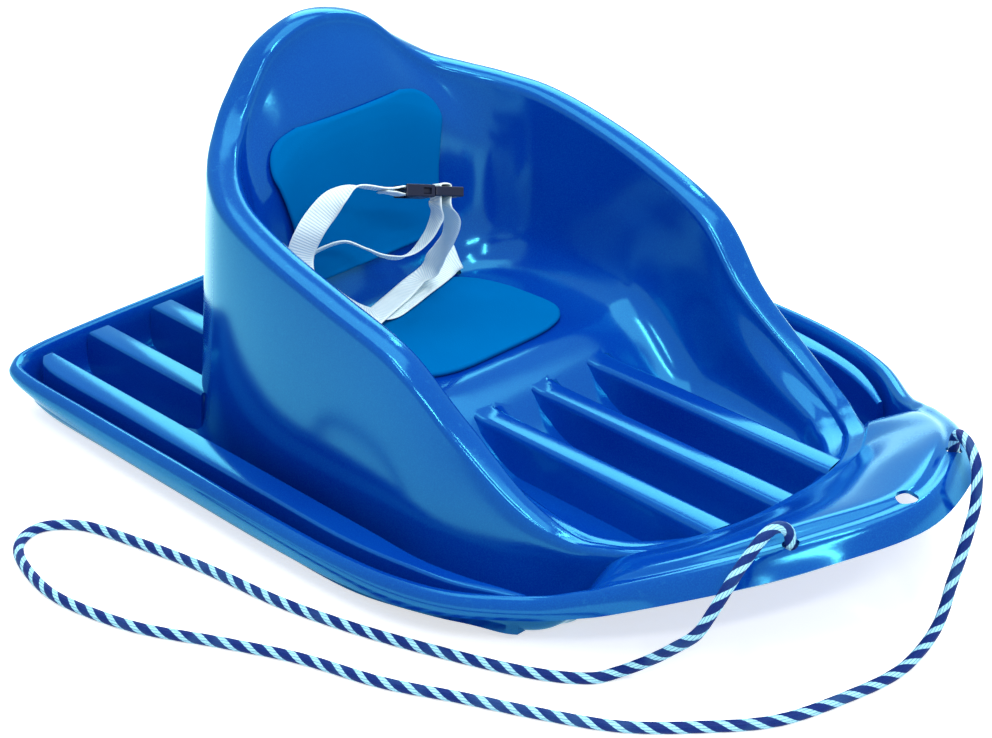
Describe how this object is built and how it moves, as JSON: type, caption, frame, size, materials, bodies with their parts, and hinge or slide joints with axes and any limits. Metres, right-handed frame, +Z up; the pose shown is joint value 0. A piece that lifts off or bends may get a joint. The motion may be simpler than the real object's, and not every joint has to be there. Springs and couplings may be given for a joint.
{
  "type": "baby sled",
  "caption": "Moulded tub sled with a ribbed pan, ribbed foot well, foam pads, a buckled lap belt and a tow rope.",
  "frame": {"origin": "on the ground, under the middle of the sled", "axes": "+X towards the nose, +Y towards the sled's left side, +Z up"},
  "size_m": [0.7419, 0.6119, 0.2863],
  "materials": {
    "moulded_plastic": "glossy moulded polyethylene",
    "foam": "matte closed-cell foam",
    "webbing": "ribbed webbing",
    "buckle_plastic": "satin",
    "rope": "braided rope in two colours"
  },
  "bodies": {
    "sled": {"sled_shell": "moulded_plastic", "seat_pad": "foam", "back_pad": "foam", "belt_strap_right": "webbing", "belt_strap_left": "webbing", "buckle_insert": "buckle_plastic", "strap_anchor_right": "buckle_plastic", "strap_anchor_left": "buckle_plastic", "tow_rope": "rope", "rope_knot_right": "rope", "rope_knot_left": "rope"},
    "socket": {"buckle_socket": "buckle_plastic"},
    "arm_left": {"release_arm_left": "buckle_plastic"},
    "arm_right": {"release_arm_right": "buckle_plastic"}
  },
  "joints": [
    {"name": "buckle_release", "type": "slide", "parent": "sled", "child": "socket", "axis": [-0.3171, -0.9162, 0.2451], "range_m": [0, 0.03], "deforming": ["belt_strap_right"]},
    {"name": "squeeze_left", "type": "hinge", "parent": "sled", "child": "arm_left", "pos_m": [-0.11883, 0.00487, 0.16994], "axis": [-0.3188, 0.3463, 0.8823], "range_deg": [0, 7], "stiffness_Nm_per_rad": 0.5},
    {"name": "squeeze_right", "type": "hinge", "parent": "sled", "child": "arm_right", "pos_m": [-0.10311, 0.00132, 0.17701], "axis": [0.3188, -0.3463, -0.8823], "range_deg": [0, 7], "stiffness_Nm_per_rad": 0.5}
  ]
}
